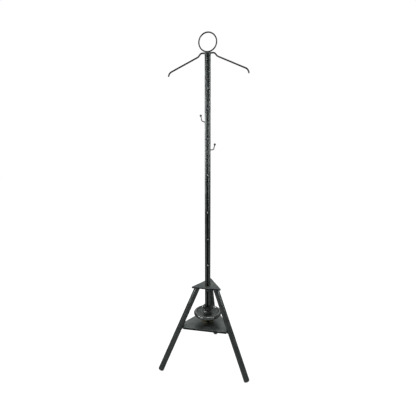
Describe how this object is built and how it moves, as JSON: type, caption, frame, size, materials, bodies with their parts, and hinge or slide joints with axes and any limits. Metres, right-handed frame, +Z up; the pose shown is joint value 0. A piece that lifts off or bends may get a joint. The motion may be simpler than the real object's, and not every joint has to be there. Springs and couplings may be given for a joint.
{
  "type": "iv drip stand",
  "caption": "Three-legged steel stand with a swivelling bundled-tube mast, shoulder-shaped hanger arms, a top ring, ball-ended hooks and a brake wheel between two plates.",
  "frame": {"origin": "on the mast's swivel axis at floor level", "axes": "+Z up along the mast, +X along the right hanger arm, -Y towards the front edge of the plates"},
  "size_m": [0.5252, 0.4592, 1.8565],
  "materials": {
    "leg_steel": "blackened steel tube, semi-gloss, worn",
    "plate_steel": "blackened flame-cut plate, semi-gloss",
    "mast_steel": "blackened drawn tube, semi-gloss",
    "rod_steel": "blackened round rod",
    "weld_metal": "bare brushed tack weld",
    "wheel_iron": "oiled turned iron, polished rim",
    "shoe_iron": "oiled turned iron",
    "pedestal_brass": "tarnished brass",
    "bearing_bronze": "plain bronze",
    "fastener_steel": "oil-blackened screws",
    "spindle_steel": "bright turned steel",
    "foot_rubber": "black rubber",
    "brake_fibre": "pressed friction fibre"
  },
  "bodies": {
    "base": {"left_leg": "leg_steel", "right_leg": "leg_steel", "rear_leg": "leg_steel", "left_foot": "foot_rubber", "right_foot": "foot_rubber", "rear_foot": "foot_rubber", "top_plate": "plate_steel", "shelf_plate": "plate_steel", "guide_bush": "bearing_bronze", "pedestal": "pedestal_brass", "pedestal_bolts": "fastener_steel", "pedestal_washers": "fastener_steel", "pedestal_nuts": "fastener_steel", "thrust_pad": "bearing_bronze"},
    "brake_wheel": {"brake_wheel": "wheel_iron", "wheel_insert": "bearing_bronze", "brake_ring": "brake_fibre"},
    "mast": {"mast_tube_left": "mast_steel", "mast_tube_right": "mast_steel", "mast_tube_rear": "mast_steel", "mast_tack_welds": "weld_metal", "mast_cap": "mast_steel", "mast_shoe": "shoe_iron", "shoe_grub_screws": "fastener_steel", "mast_spindle": "spindle_steel", "hanger_rod": "rod_steel", "top_ring": "rod_steel", "upper_hook": "rod_steel", "lower_hook": "rod_steel", "upper_hook_ball": "rod_steel", "lower_hook_ball": "rod_steel"}
  },
  "joints": [
    {"name": "mast_swivel", "type": "hinge", "parent": "base", "child": "mast", "pos_m": [0, 0, 0.356], "axis": [0, 0, 1], "continuous": true},
    {"name": "wheel_turn", "type": "hinge", "parent": "base", "child": "brake_wheel", "pos_m": [0, 0, 0.309], "axis": [0, 0, 1], "range_deg": [-180, 0]}
  ]
}
